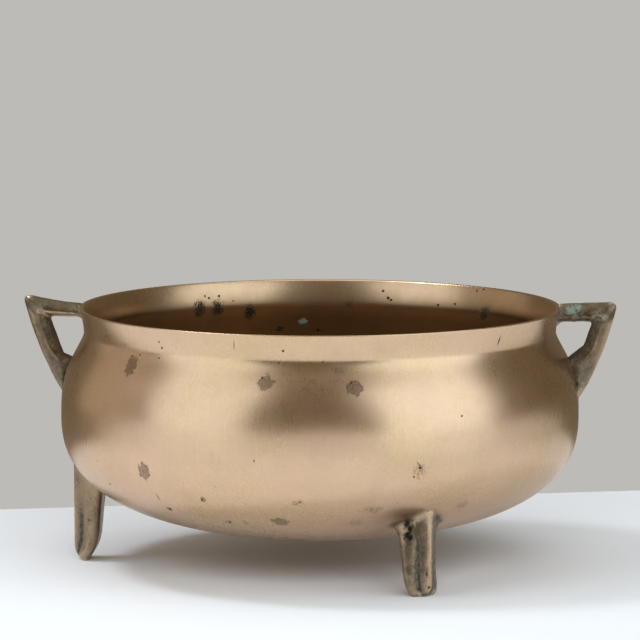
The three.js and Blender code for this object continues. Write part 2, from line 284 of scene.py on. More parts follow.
def open_group(name, kind, inputs, outputs):
    """A new node group with named inputs and outputs. Inputs are (name, socket type, value)."""
    tree = bpy.data.node_groups.new(name, kind)
    for label, socket, value in inputs:
        made = tree.interface.new_socket(label, in_out="INPUT", socket_type=socket)
        if value is not None:
            made.default_value = value
    for label, socket in outputs:
        tree.interface.new_socket(label, in_out="OUTPUT", socket_type=socket)
    return tree, put(tree, "NodeGroupInput").outputs, put(tree, "NodeGroupOutput").inputs


def input_id(tree, name):
    for item in tree.interface.items_tree:
        if item.item_type == "SOCKET" and item.in_out == "INPUT" and item.name == name:
            return item.identifier


# %% A tree that turns a profile
turning, given, result = open_group(
    "turn a profile",
    "GeometryNodeTree",
    [
        ("Profile", "NodeSocketGeometry", None),
        ("Segments", "NodeSocketInt", 320),
        ("Wander", "NodeSocketFloat", 0.0004),
        ("Wander Size", "NodeSocketFloat", 0.09),
        ("Seed", "NodeSocketFloat", 3.0),
        ("Seam Merge", "NodeSocketFloat", 0.00002),
        ("Finish", "NodeSocketMaterial", None),
    ],
    [("Bowl", "NodeSocketGeometry")],
)
size = put(turning, "GeometryNodeAttributeDomainSize", {0: given["Profile"]}, component="MESH")
rows = size.outputs["Point Count"]
columns = sum_of(turning, "ADD", given["Segments"], 1.0)
grid = put(turning, "GeometryNodeMeshGrid", {"Vertices X": columns, "Vertices Y": rows})
index = put(turning, "GeometryNodeInputIndex").outputs[0]
column = sum_of(turning, "FLOOR", sum_of(turning, "DIVIDE", sum_of(turning, "ADD", index, 0.5), rows))
row = sum_of(turning, "SUBTRACT", index, sum_of(turning, "MULTIPLY", column, rows))
sample = put(turning, "GeometryNodeSampleIndex", data_type="FLOAT_VECTOR", domain="POINT")
turning.links.new(given["Profile"], sample.inputs[0])
turning.links.new(put(turning, "GeometryNodeInputPosition").outputs[0], sample.inputs["Value"])
turning.links.new(row, sample.inputs["Index"])
point = put(turning, "ShaderNodeSeparateXYZ", {0: sample.outputs["Value"]}).outputs
share = sum_of(turning, "DIVIDE", column, given["Segments"])
angle = sum_of(turning, "MULTIPLY", share, 2 * math.pi)
cosine, sine = sum_of(turning, "COSINE", angle), sum_of(turning, "SINE", angle)


def round_the_axis(radius):
    x, y = sum_of(turning, "MULTIPLY", radius, cosine), sum_of(turning, "MULTIPLY", radius, sine)
    return put(turning, "ShaderNodeCombineXYZ", {0: x, 1: y, 2: point["Z"]}).outputs[0]


texture = put(
    turning,
    "ShaderNodeTexNoise",
    {
        "Vector": round_the_axis(point["X"]),
        "W": given["Seed"],
        "Scale": sum_of(turning, "DIVIDE", 1.0, given["Wander Size"]),
        "Detail": 1.0,
    },
    noise_dimensions="4D",
)
# The wall only ever wanders inwards, so the bowl keeps within its true size. Near the axis, within
# 50 mm of it, the wandering dies away.
room_for_it = sum_of(turning, "MULTIPLY", point["X"], 20.0, clamp=True)
wander = sum_of(turning, "MULTIPLY", texture.outputs[0], given["Wander"])
shift = sum_of(turning, "MULTIPLY", wander, room_for_it)
nearer = round_the_axis(sum_of(turning, "SUBTRACT", point["X"], shift))
placed = put(turning, "GeometryNodeSetPosition", {"Geometry": grid.outputs["Mesh"], "Position": nearer})
seam = {"Geometry": placed.outputs[0], "Distance": given["Seam Merge"]}
merged = put(turning, "GeometryNodeMergeByDistance", seam)
smooth = put(turning, "GeometryNodeSetShadeSmooth", {"Geometry": merged.outputs[0]})
real = put(turning, "GeometryNodeRealizeInstances", {"Geometry": smooth.outputs[0]})
coated = put(turning, "GeometryNodeSetMaterial", {"Geometry": real.outputs[0], "Material": given["Finish"]})
turning.links.new(coated.outputs[0], result["Bowl"])


# %% Turn the bowl
def object_of(name, mesh):
    made = bpy.data.objects.new(name, mesh)
    bpy.context.scene.collection.objects.link(made)
    return made


def plain_mesh(source):
    """What an object's modifiers make of it, as a mesh of its own."""
    bpy.context.view_layer.update()
    graph = bpy.context.evaluated_depsgraph_get()
    return bpy.data.meshes.new_from_object(source.evaluated_get(graph))


bronze = bpy.data.materials.new("satin_bronze")
bronze.use_nodes = True
limb_skin = bpy.data.materials.new("limb_mark")  # only tells the faces of the limbs from the bowl's

profile_mesh = bpy.data.meshes.new("profile")
profile_mesh.from_pydata(
    [(r * MM, 0, z * MM) for r, z in profile], [(i, i + 1) for i in range(len(profile) - 1)], []
)
profile_wire = object_of("profile", profile_mesh)
turner = profile_wire.modifiers.new("turn", "NODES")
turner.node_group = turning
sizes = {"Segments": 320, "Wander": 0.0004, "Wander Size": 0.09, "Seed": 3.0, "Seam Merge": 0.00002}
for label, value in {**sizes, "Finish": bronze}.items():
    turner[input_id(turning, label)] = value
bowl = object_of("bowl", plain_mesh(profile_wire))
bpy.data.objects.remove(profile_wire)
bowl.data.materials.clear()
bowl.data.materials.append(bronze)
bowl.data.polygons.foreach_set("material_index", [0] * len(bowl.data.polygons))
print("bowl:", len(bowl.data.vertices), "points,", len(bowl.data.polygons), "faces")

# %% [markdown]
# ## Handles and feet
#
# Each handle is one bar of rounded diamond section: a level arm, a corner, and a brace that comes
# back to the belly. Its width changes all the way, so a curve with one bevel profile wouldn't do.
# Each is lofted instead, through rings set between its outer and its inner edge. The feet are
# lofted too, through upright columns of points that end on the bowl's round underside.

# %% Loft helpers
HANDLES = {  # turned by degrees round the pot, all else in mm
    "handle_right": dict(
        angle=0, reach=43.5, tip_rise=5.7, root_rise=3.7, sag=0, brace=13.6, web_top=167, web_foot=157.5
    ),
    "handle_left": dict(
        angle=180, reach=45.1, tip_rise=7.4, root_rise=0.4, sag=0.7, brace=14.6, web_top=157, web_foot=154.5
    ),
}
FEET = {  # turned by degrees round the pot and about themselves, all else in mm
    "foot_left": dict(angle=180, ridge=186.8, twist=0, heel_inset=7),
    "foot_front": dict(angle=302.2, ridge=173.5, twist=5, heel_inset=4),
    "foot_rear": dict(angle=66, ridge=186, twist=0, heel_inset=5),
}


def spin(points, degrees):
    """Points turned round the upright axis."""
    c, s = math.cos(math.radians(degrees)), math.sin(math.radians(degrees))
    x, y, z = np.moveaxis(np.asarray(points, float), -1, 0)
    return np.stack([c * x - s * y, s * x + c * y, z], axis=-1)


def lofted(name, rings):
    """A closed skin through rings of equally many points, with a face over each end."""
    count, around = rings.shape[:2]
    faces = []
    for i in range(count - 1):
        for j in range(around):
            k = (j + 1) % around
            faces.append((i * around + j, i * around + k, (i + 1) * around + k, (i + 1) * around + j))
    faces += [tuple(range(around)), tuple(range((count - 1) * around, count * around))]
    mesh = bpy.data.meshes.new(name)
    mesh.from_pydata((rings.reshape(-1, 3) * MM).tolist(), [], faces)
    shell = bmesh.new()
    shell.from_mesh(mesh)
    bmesh.ops.recalc_face_normals(shell, faces=shell.faces)
    shell.to_mesh(mesh)
    shell.free()
    mesh.materials.append(bronze)
    mesh.materials.append(limb_skin)
    mesh.polygons.foreach_set("material_index", [1] * len(mesh.polygons))
    return object_of(name, mesh)


def fillet(distance, size):
    """How much of a fillet is left at a distance from the surface that it runs out on."""
    near = 1 - np.clip(np.maximum(0, distance) / size, 0, 1)
    return 1 - np.sqrt(1 - near * near)


def within_wall(height):
    return np.array([float(bowl_radius(height)) - WALL / 2, height])


# %% Handles
HANDLE_WIDTH, HANDLE_EDGE, ARM_UNDERSIDE, ARM_RIDGE_DROP = 15.0, 1.45, 9.5, 0.35
BRACE_SLOPE, BRACE_BOW, BRACE_END_HEIGHT = math.radians(20.2), 3.0, 127.0
CORNER_ROUND, HOLE_ROUND = 9.0, 3.0
ARM_FILLET, ARM_FILLET_DROP, ROOT_SPREAD = 7.0, 3.6, 3.0
BAR_AROUND, ARM_STEPS, CORNER_STEPS, BRACE_STEPS = 40, 22, 12, (16, 10, 16)


def handle_stations(reach, tip_rise, root_rise, sag, brace, web_top, web_foot):
    """Pairs of points on the outer and the inner edge, as (radius, height), with the ridge's drop."""
    root = np.array([RIM_RADIUS - RIM_WALL / 2, RIM_HEIGHT + root_rise])
    tip = np.array([RIM_RADIUS + reach, RIM_HEIGHT + tip_rise])
    down = np.array([-math.sin(BRACE_SLOPE), -math.cos(BRACE_SLOPE)])
    under = RIM_HEIGHT - ARM_UNDERSIDE
    arm_end = tip + (root - tip) / np.linalg.norm(root - tip) * CORNER_ROUND
    brace_start = tip + down * CORNER_ROUND

    def brace_inner(height):
        x = tip[0] - (tip[1] - height) * math.tan(BRACE_SLOPE) - brace / math.cos(BRACE_SLOPE)
        return np.array([x, height])

    hole = brace_inner(under)
    hole_start, hole_end = hole - [HOLE_ROUND, 0], brace_inner(under - HOLE_ROUND)
    arm_middle = (root + arm_end) / 2 - [0, 2 * sag]
    end = np.array([float(bowl_radius(BRACE_END_HEIGHT)), BRACE_END_HEIGHT])
    brace_middle = brace_start + (end - brace_start) * 0.6 + [2 * BRACE_BOW, 0]

    stations = []
    for i in range(ARM_STEPS):
        t = i / ARM_STEPS
        inner = within_wall(under) * (1 - t) + hole_start * t
        inner[1] -= ARM_FILLET_DROP * fillet(inner[0] - float(bowl_radius(under)), ARM_FILLET)
        if i == 0:
            inner[0] = within_wall(inner[1])[0]
        stations.append((bent(root, arm_middle, arm_end, t), inner, ARM_RIDGE_DROP))
    for i in range(CORNER_STEPS + 1):
        t = i / CORNER_STEPS
        outer, inner = bent(arm_end, tip, brace_start, t), bent(hole_start, hole, hole_end, t)
        stations.append((outer, inner, ARM_RIDGE_DROP * (1 - t)))
    web_end = np.array([float(bowl_radius(web_foot)), web_foot])
    corners = [hole_end, brace_inner(web_top), web_end, within_wall(BRACE_END_HEIGHT + brace / 4)]
    spans = zip(corners, corners[1:], BRACE_STEPS)
    inners = [a + (b - a) * (i + 1) / n for a, b, n in spans for i in range(n)]
    for i, inner in enumerate(inners):
        if inner[1] < web_foot:
            inner[0] = within_wall(inner[1])[0]
        stations.append((bent(brace_start, brace_middle, end, (i + 1) / len(inners)), inner, 0))
    stations.append((within_wall(BRACE_END_HEIGHT - WALL / 2), within_wall(BRACE_END_HEIGHT + WALL / 2), 0))
    return stations


def handle_ring(outer, inner, drop):
    middle, half = (outer + inner) / 2, (outer - inner) / 2
    spread = ROOT_SPREAD * fillet(middle[0] - float(bowl_radius(middle[1])), ARM_FILLET)
    angle = np.arange(BAR_AROUND) / BAR_AROUND * 2 * math.pi
    power = 2 / HANDLE_EDGE
    along = np.sign(np.cos(angle)) * np.abs(np.cos(angle)) ** power
    across = np.sign(np.sin(angle)) * np.abs(np.sin(angle)) ** power
    along = along - drop * (1 - along**2)
    side = (HANDLE_WIDTH / 2 + spread) * across
    return np.stack([middle[0] + half[0] * along, side, middle[1] + half[1] * along], axis=-1)


limbs = []
for name, settings in HANDLES.items():
    settings = dict(settings)
    angle = settings.pop("angle")
    rings = np.array([handle_ring(*station) for station in handle_stations(**settings)])
    limbs.append(lofted(name, spin(rings, angle)))
    print(name, "stations", len(rings))

# %% Feet
FOOT_DEPTH, FOOT_DEPTH_GAIN, FOOT_WIDTH, FOOT_WIDTH_GAIN = 18.3, 0.085, 25.6, 0.09
RIDGE_ROUND, HEEL_ROUND = 3.4, 5.0
TOE_HEIGHT, TOE_INSET, TOE_SIDE_INSET, HEEL_HEIGHT = 11.0, 5.5, 3.5, 20.0
FLUTE_DEPTH, FLUTE_TOP, FLUTE_FOOT = 2.2, 44.0, 2.0
FLUTE_WIDTH, FLUTE_TOP_WIDTH, FLUTE_PLACE, FLUTE_TOP_PLACE = 0.38, 0.24, 0.56, 0.46
FOOT_FILLET, HEEL_SPREAD, RIDGE_SPREAD = 17.0, 5.0, 1.0
TOE_STEPS, SHAFT_STEPS, FLARE_STEPS = 8, 14, 14
FOOT_OVERLAP = 1.6  # how far a foot reaches into the bowl's wall


def facing(a, b):
    """The direction that the straight side between two circles (x, y, radius) faces."""
    run = np.array(b[:2]) - np.array(a[:2])
    return math.atan2(run[1], run[0]) - math.pi / 2 + math.asin((a[2] - b[2]) / np.linalg.norm(run))


def arc(circle, start, finish, count=6):
    angle = start + ((finish - start + 4 * math.pi) % (2 * math.pi)) * np.linspace(0, 1, count)
    return np.column_stack([circle[0] + circle[2] * np.cos(angle), circle[1] + circle[2] * np.sin(angle)])


def fluted_side(a, b, place, width, depth):
    """Points between a and b, with how deep in the flute each lies, from 0 to 1."""
    t0, t1 = place - width / 2, place + width / 2
    t = np.concatenate([np.linspace(0, t0, 4)[1:-1], np.linspace(t0, t1, 11), np.linspace(t1, 1, 4)[1:-1]])
    sink = np.clip(1 - ((t - place) / (width / 2)) ** 2, 0, 1)
    inwards = np.array([a[1] - b[1], b[0] - a[0]]) / np.linalg.norm(b - a)
    return a + (b - a) * t[:, None] + inwards * (sink * depth)[:, None], sink * depth / FLUTE_DEPTH


def foot_section(height, ridge, heel_inset):
    toe = max(0, 1 - height / TOE_HEIGHT) ** 2.4
    heel = max(0, 1 - height / HEEL_HEIGHT) ** 1.8
    front = ridge - TOE_INSET * toe
    back = ridge - FOOT_DEPTH - FOOT_DEPTH_GAIN * height + heel_inset * heel
    half = (FOOT_WIDTH + FOOT_WIDTH_GAIN * height) / 2 - TOE_SIDE_INSET * toe
    most = 0.38 * (front - back)
    r, h = min(RIDGE_ROUND, most), min(HEEL_ROUND, most)
    apex, left, right = (front - r, 0, r), (back + h, half - h, h), (back + h, h - half, h)
    to_left, to_right, to_apex = facing(apex, left), facing(left, right), facing(right, apex)
    apex_arc = arc(apex, to_apex, to_left)
    left_arc, right_arc = arc(left, to_left, to_right), arc(right, to_right, to_apex)
    rise = min(1, max(0, height - FLUTE_FOOT) / TOE_HEIGHT)
    fall = min(1, 1.6 * max(0, FLUTE_TOP - height) / FLUTE_TOP)
    depth = FLUTE_DEPTH * min(1, 3 * rise, fall)
    up = min(1, height / FLUTE_TOP)
    width = FLUTE_WIDTH + (FLUTE_TOP_WIDTH - FLUTE_WIDTH) * up
    place = FLUTE_PLACE + (FLUTE_TOP_PLACE - FLUTE_PLACE) * up
    near, near_sink = fluted_side(apex_arc[-1], left_arc[0], place, width, depth)
    away, away_sink = fluted_side(right_arc[-1], apex_arc[0], 1 - place, width, depth)
    back_line = left_arc[-1] + (right_arc[0] - left_arc[-1]) * np.linspace(0, 1, 9)[1:-1, None]
    outline = np.vstack([apex_arc, near, left_arc, back_line, right_arc, away])
    flat = len(left_arc) + len(back_line) + len(right_arc)
    sinks = np.concatenate([[0] * len(apex_arc), near_sink, [0] * flat, away_sink])
    return outline, sinks


flute_points = []
for name, s in FEET.items():
    middle = np.array([s["ridge"] - FOOT_DEPTH / 2, 0])
    c, si = math.cos(math.radians(s["twist"])), math.sin(math.radians(s["twist"]))
    twist = np.array([[c, -si], [si, c]])
    high, _ = foot_section(BELLY_HEIGHT / 2, s["ridge"], s["heel_inset"])
    tops = underside_height(np.linalg.norm((high - middle) @ twist.T + middle, axis=1))
    columns = []
    for j, top in enumerate(tops):
        toe = np.linspace(0, 1, TOE_STEPS + 1)[:-1] ** 1.5 * TOE_HEIGHT
        shaft = np.linspace(TOE_HEIGHT, top - FOOT_FILLET, SHAFT_STEPS + 1)[:-1]
        flare_heights = top - FOOT_FILLET * np.linspace(1, 0, FLARE_STEPS) ** 1.3
        column = []
        for height in [*toe, *shaft, *flare_heights, top + FOOT_OVERLAP]:
            outline, sinks = foot_section(height, s["ridge"], s["heel_inset"])
            at = outline[j].copy()
            flare = float(fillet(top - height, FOOT_FILLET))
            at[0] += RIDGE_SPREAD * flare * (at[0] - middle[0]) / (FOOT_DEPTH / 2)
            at[1] += HEEL_SPREAD * flare * at[1] / (FOOT_WIDTH / 2)
            at = (at - middle) @ twist.T + middle
            column.append((at[0], at[1], height))
            if sinks[j] > 0.02:
                flute_points.append((spin([at[0], at[1], height], s["angle"]), sinks[j]))
        columns.append(column)
    rings = np.array(columns).transpose(1, 0, 2)
    limbs.append(lofted(name, spin(rings, s["angle"])))
    print(name, "stations", len(rings), "round", rings.shape[1])

# %% [markdown]
# ## One casting
#
# Metal that was poured as one has no seams, so the six closed skins are joined with a boolean union
# into one. Then the ring of points where a limb leaves the bowl is relaxed a little, which
# gives the soft corner that a clay mould leaves.

# %% Join the limbs to the bowl
solvers = [s.identifier for s in bpy.types.BooleanModifier.bl_rna.properties["solver"].enum_items]
solver = "MANIFOLD" if "MANIFOLD" in solvers else "EXACT"
bowl.data.materials.append(limb_skin)
for limb in limbs:
    union = bowl.modifiers.new(limb.name, "BOOLEAN")
    union.operation, union.solver, union.object = "UNION", solver, limb
joined = plain_mesh(bowl)
joined.name = "cauldron_casting"
for old in [bowl, *limbs]:
    bpy.data.objects.remove(old)
print("joined with", solver, ":", len(joined.vertices), "points,", len(joined.polygons), "faces")

# %% Soften the joins
JOIN_MERGE = 0.0005  # points this near each other along a join become one
shell = bmesh.new()
shell.from_mesh(joined)


def join_points():
    """The points where a face of the bowl meets a face of a limb."""
    return [v for v in shell.verts if len({f.material_index for f in v.link_faces}) > 1]


def grown(points, rings):
    for _ in range(rings):
        points = points | {e.other_vert(v) for v in points for e in v.link_edges}
    return points


limb_faces = sum(f.material_index == 1 for f in shell.faces)
print("points on the joins:", len(join_points()), "- faces of the limbs:", limb_faces)
bmesh.ops.remove_doubles(shell, verts=join_points(), dist=JOIN_MERGE)
joint = set(join_points())
for rings, rounds in ((2, 4), (1, 2)):
    region = list(grown(joint, rings))
    for _ in range(rounds):
        bmesh.ops.smooth_vert(
            shell, verts=region, factor=0.5, use_axis_x=True, use_axis_y=True, use_axis_z=True
        )
open_edges = sum(1 for e in shell.edges if len(e.link_faces) != 2)
shell.verts.index_update()
limb_list = [max((f.material_index for f in v.link_faces), default=0) for v in shell.verts]
for face in shell.faces:
    face.material_index = 0
    face.smooth = True
shell.to_mesh(joined)
shell.free()
joined.materials.clear()
joined.materials.append(bronze)
print("edges that don't join two faces:", open_edges)

# %% [markdown]
# ## Relief
#
# A sand or clay mould leaves the limbs lumpier than the scoured bowl, and the metal of this pot has
# a few casting faults: a shrinkage hole at the top of the front foot, and rough, pitted roots on the
# handles. These are real hollows, so points of the mesh are moved for them. A fault is placed where
# a line of sight from the camera meets the skin, and it stays there when seen from any other side.

# %% Points, normals and neighbours
def rows_of(items, what, width, kind=float):
    """One property of all the items of a mesh, a row for each."""
    values = np.zeros(len(items) * width, kind)
    items.foreach_get(what, values)
    return values.reshape(-1, width)


co, normals = rows_of(joined.vertices, "co", 3), rows_of(joined.vertices, "normal", 3)
edges = rows_of(joined.edges, "vertices", 2, int)
touching = np.bincount(edges.ravel(), minlength=len(co)).clip(1)


def neighbour_mean(values):
    """For each point, the mean of a value over the points that share an edge with it."""
    total = np.zeros_like(values)
    np.add.at(total, edges[:, 0], values[edges[:, 1]])
    np.add.at(total, edges[:, 1], values[edges[:, 0]])
    return total / (touching if values.ndim == 1 else touching[:, None])


def calmed(values, rounds):
    for _ in range(rounds):
        values = 0.5 * values + 0.5 * neighbour_mean(values)
    return values


limb = calmed(np.array(limb_list, float), 2)
at_mm = co / MM
radius = np.hypot(at_mm[:, 0], at_mm[:, 1])
mid_wall = bowl_radius(at_mm[:, 2], WALL / 2)
inside = (radius < mid_wall) & (at_mm[:, 2] > BASE_CLEARANCE + WALL / 2)
inside = np.where(at_mm[:, 2] > RIM_HEIGHT - 0.6, 0, inside & (limb < 0.5)).astype(float)
inside = calmed(inside, 1)
print("points on limbs", int((limb > 0.5).sum()), "inside", int((inside > 0.5).sum()))

# %% Where a line of sight meets the skin
surface = BVHTree.FromPolygons([Vector(p) for p in co], [tuple(p.vertices) for p in joined.polygons])


def line_of_sight(x, y):
    return (SIGHT * FOCAL + RIGHT * (x - PICTURE / 2) - UP * (y - PICTURE / 2)).normalized()


def seen_at(x, y):
    spot, normal, _, _ = surface.ray_cast(camera.location, line_of_sight(x, y), FAR_CLIP)
    return spot, normal


def on_handle_plane(x, y):
    """Where a line of sight crosses the upright plane that both handles lie in, in mm."""
    sight = line_of_sight(x, y)
    return np.array((camera.location - sight * (camera.location.y / sight.y)) / MM)


# %% Rough places and casting faults
PIXEL_MM = 0.75  # about what one pixel of the picture spans at the pot
HANDLES_WITHIN, FAULT_REACH = 22, 6  # mm either side of the handles' plane, and along a fault's normal
# Place in the picture and reach, in pixels
ROUGH_PLACES = [(40, 308, 6), (66, 372, 19), (597, 317, 8), (577, 374, 24), (572, 312, 13)]
rough = np.zeros(len(co))
for x, y, reach in ROUGH_PLACES:
    centre = on_handle_plane(x, y)
    away = np.hypot(at_mm[:, 0] - centre[0], at_mm[:, 2] - centre[2]) / (reach * PIXEL_MM)
    rough = np.maximum(rough, np.clip(1 - away**2, 0, 1) * (np.abs(at_mm[:, 1]) < HANDLES_WITHIN))
rough *= limb

FAULTS = [  # place in the picture, half width and half height in mm, depth in mm
    (406.5, 525, 2.6, 3.6, 2.4),
    (410, 529, 2.0, 3.6, 2.4),
    (406.5, 536, 3.0, 3.2, 3.2),
    (410.5, 538, 1.8, 2.6, 2.0),
    (427, 574, 1.3, 2.0, 0.6),
    (429, 588, 1.2, 1.4, 0.5),
    (88, 520, 1.0, 1.6, 0.5),
]
fault = np.zeros(len(co))
push = np.zeros(len(co))
for x, y, wide, tall, deep in FAULTS:
    spot, normal = seen_at(x, y)
    offset = (co - np.array(spot)) / MM
    u, v = offset @ np.array(RIGHT), offset @ np.array(UP)
    d2 = (u / wide) ** 2 + (v / tall) ** 2 + ((offset @ np.array(normal)) / FAULT_REACH) ** 2
    share = np.clip(1 - d2, 0, 1)
    fault = np.maximum(fault, share)
    push = np.maximum(push, deep * share**0.8)


def lumps(points, size, seed):
    return np.array([noise.noise(Vector(p) / size + Vector((seed, 0, 0))) for p in points])


busy = np.flatnonzero((limb > 0.02) | (fault > 0))
swell = np.zeros(len(co))
swell[busy] = limb[busy] * (0.22 * lumps(at_mm[busy], 7, 1) + 0.10 * lumps(at_mm[busy], 2.6, 5))
swell[busy] += rough[busy] * (0.55 * lumps(at_mm[busy], 3.4, 9) + 0.35)
swell -= push * (1 + 0.25 * np.sign(push))
swell *= np.clip(at_mm[:, 2] / 3, 0, 1)  # the feet stand flat
co = co + normals * swell[:, None] * MM
co = np.clip(co, np.array(cad_low), np.array(cad_high))
joined.vertices.foreach_set("co", co.ravel())
joined.update()
print("deepest fault", round(float(swell.min()), 2), "mm, highest lump", round(float(swell.max()), 2), "mm")

# %% What the finish needs to know about each point
normals = rows_of(joined.vertices, "normal", 3)
bend_amount = ((co - neighbour_mean(co)) * normals).sum(1)
edge_length = np.zeros(len(co))
lengths = np.linalg.norm(co[edges[:, 0]] - co[edges[:, 1]], axis=1)
np.add.at(edge_length, edges[:, 0], lengths)
np.add.at(edge_length, edges[:, 1], lengths)
bend_amount = calmed(bend_amount / (edge_length / touching) ** 2 * MM, 2)  # per mm, positive where it bulges
# Convex edges of the limbs and round the lip: painted brighter later, as wear and as a painted highlight
ridge = np.clip((bend_amount - 0.03) / 0.14, 0, 1) * np.maximum(limb, at_mm[:, 2] > RIM_HEIGHT - 1.2)
crevice_and_shade = calmed(np.clip((-bend_amount - 0.01) / 0.08, 0, 1), 1)

FEET_BELOW, FLUTE_NEAR = 60, 2.5  # mm
tree_of_flutes = kdtree.KDTree(len(flute_points))
for i, (place, _) in enumerate(flute_points):
    tree_of_flutes.insert(Vector(place), i)
tree_of_flutes.balance()
flute = np.zeros(len(co))
for i in np.flatnonzero((limb > 0.3) & (at_mm[:, 2] < FEET_BELOW)):
    _, nearest_one, away = tree_of_flutes.find(Vector(at_mm[i]))
    flute[i] = flute_points[nearest_one][1] * max(0, 1 - away / FLUTE_NEAR)
flute = calmed(flute, 1)

# The handles lie above 120 mm, and the undersides of their arms at about 181 mm
x_mm, y_mm, z_mm = at_mm.T
facing_up = normals[:, 2]
facing_out = (normals[:, 0] * x_mm + normals[:, 1] * y_mm) / radius.clip(1)
left_handle, right_handle, on_feet = x_mm < -150, x_mm > 150, z_mm < FEET_BELOW

# Skin that faces up is duller, most of all on the arm of the right handle
dull_and_highlights = limb * (0.88 + 0.12 * np.clip(1.5 * facing_up + 0.2, 0, 1) * (z_mm > 150))
dull_and_highlights = np.maximum(dull_and_highlights, 0.95 * limb * np.clip((z_mm - 181) / 4, 0, 1) * right_handle)
# Under the left handle's arm the skin is left lighter, as a painted highlight
highlight_under_left_arm = left_handle & (z_mm > 180) & (facing_up < -0.2)
dull_and_highlights = calmed(np.where(highlight_under_left_arm, 0.45 * dull_and_highlights, dull_and_highlights), 1)
# Hands rub the sides that face out, which are also left lighter as a painted highlight, and dirt
# clings to the sides of the handles that face the bowl, where the darkening is also painted shade
worn_and_highlit = np.clip((facing_out - 0.58) / 0.3, 0, 1) * (z_mm < 186)
dull_and_highlights *= 1 - calmed(0.7 * worn_and_highlit, 1)
crevice_and_shade = np.maximum(crevice_and_shade, 0.75 * limb * np.clip(-1.4 * facing_out, 0, 1) * (z_mm > 120))
# The left foot is a little brighter than the others, and the front foot is dark apart from its ridge,
# which is left light as a painted highlight
dull_and_highlights = np.where(on_feet & (x_mm < -120), 0.85 * dull_and_highlights, dull_and_highlights)
dull_and_highlights = np.where(on_feet & (y_mm < -80) & (facing_out < 0.8), 0.96 * limb, dull_and_highlights)
dull_and_highlights = np.where(on_feet, calmed(dull_and_highlights, 2), dull_and_highlights)

stored = dict(limb=limb, inside=inside, dull_and_highlights=dull_and_highlights, rough=rough, fault=fault)
for name, values in dict(**stored, ridge=ridge, crevice_and_shade=crevice_and_shade, flute=flute).items():
    layer = joined.attributes.new(name, "FLOAT", "POINT")
    layer.data.foreach_set("value", np.asarray(values, np.float32))
    print(name, "mean", round(float(np.mean(values)), 4), "most", round(float(np.max(values)), 2))

# %% [markdown]
# ## The finish: marks
#
# Use has left marks on the bronze: brown stains, fainter smudges, black pits and cracks, corroded
# patches inside and at the front foot's root, and green inside and on one arm. Each mark is a flat
# ellipsoid in the skin, thinner than the wall, so that it can't show on the other side. One Mapping
# node of type Texture per mark turns the surface's place into a distance, 1 at the mark's edge, and
# noise then frays that edge.


# %% Marks in the skin
MARK_DEPTH, PIT_GROWTH = 2.4, 1.15  # the depth is in mm, either side of the skin


def mark(x, y, half_width, half_height, tilt=0.0):
    """A Mapping's values, in mm, for a mark with its place and half sizes in pixels of the picture."""
    spot, normal = seen_at(x, y)
    pixel = (spot - camera.location).dot(SIGHT) / FOCAL / MM
    along = (RIGHT - normal * RIGHT.dot(normal)).normalized()
    upward = normal.cross(along)
    if upward.dot(UP) < 0:
        upward = -upward
    t = math.radians(tilt)
    a, b = along * math.cos(t) + upward * math.sin(t), upward * math.cos(t) - along * math.sin(t)
    wide = half_width * pixel / max(0.4, (a - SIGHT * a.dot(SIGHT)).length)
    tall = half_height * pixel / max(0.3, (b - SIGHT * b.dot(SIGHT)).length)
    frame_axes = Matrix((a, b, a.cross(b))).transposed()
    return tuple(v / MM for v in spot), tuple(frame_axes.to_euler("XYZ")), (wide, tall, MARK_DEPTH)


STAINS = [
    (131, 366, 5.5, 11, -22), (266, 383, 9, 8, 20), (355, 388.5, 9.5, 7.5, -12), (144, 472, 6.5, 10, 12),
    (280, 522, 9, 4, -8), (203, 500, 3, 2.5, 0), (170, 509, 4, 2.5, 20),
]
SMUDGES = [
    (420, 471, 9, 10, 0), (372, 510, 14, 5, -8), (298, 503, 9, 4, 5), (356, 523, 9, 4.5, 0),
    (229, 522, 6, 3, 10), (246, 523, 5, 3, 0), (349, 304, 8, 5, 10), (318, 330, 9, 3, 0),
    (462, 505, 9, 4, 10), (338, 371, 8, 5, 0),
]
PITS = [
    (162, 348, 1.3), (140, 355, 1.1), (159, 342, 1.0), (159, 358, 1.0), (283, 351, 1.3), (279, 363, 1.2),
    (323, 362, 1.1), (462, 416, 1.2), (262, 378, 1.3), (351, 383, 1.2), (202, 500, 1.2), (170, 509, 1.3),
    (254, 461, 1.0), (230, 522, 1.3), (420, 468, 1.4), (414, 477, 1.0), (383, 291, 1.5), (388, 298, 1.8),
    (391, 300, 1.3), (438, 305, 1.4), (455, 304, 1.2), (484, 289, 1.4), (477, 291, 1.2), (219, 296, 1.3),
    (209, 298, 1.3), (205, 296, 1.0), (233, 301, 1.0), (318, 330, 1.3), (110, 484, 1.0), (300, 502, 1.0),
]
CRACKS = [
    (499, 340.5, 0.8, 6, -28), (234, 345, 0.5, 6, 0), (420, 466, 0.6, 7, 35), (158, 497, 0.6, 5, 30),
]
CORRODED = [
    (409, 519, 6, 3.5, -15), (200, 309, 6.5, 11, 0), (218, 308, 6.5, 11, 0), (250, 312, 6.5, 9, 0),
    (484, 313, 6, 10, -25), (280, 329, 4, 2.5, 0),
]
GREENS = [(303, 321, 5.5, 3.4, 0), (571, 310, 6, 5, 0), (578, 307, 4, 4, 0)]
marks = dict(stains=STAINS, smudges=SMUDGES, cracks=CRACKS, corroded=CORRODED, greens=GREENS)
marks = {kind: [mark(*values) for values in places] for kind, places in marks.items()}
marks["pits"] = [mark(x, y, PIT_GROWTH * reach, PIT_GROWTH * reach) for x, y, reach in PITS]
print("marks:", ", ".join(f"{len(found)} {kind}" for kind, found in marks.items()))

# %% [markdown]
# ## The finish: effects
#
# Two effects are used several times with other values, so each is a node group: a frayed
# edge for marks, and grain, which is a noise that can be stretched along an axis. Both
# put out only a mask, because the shader itself stays in the material.

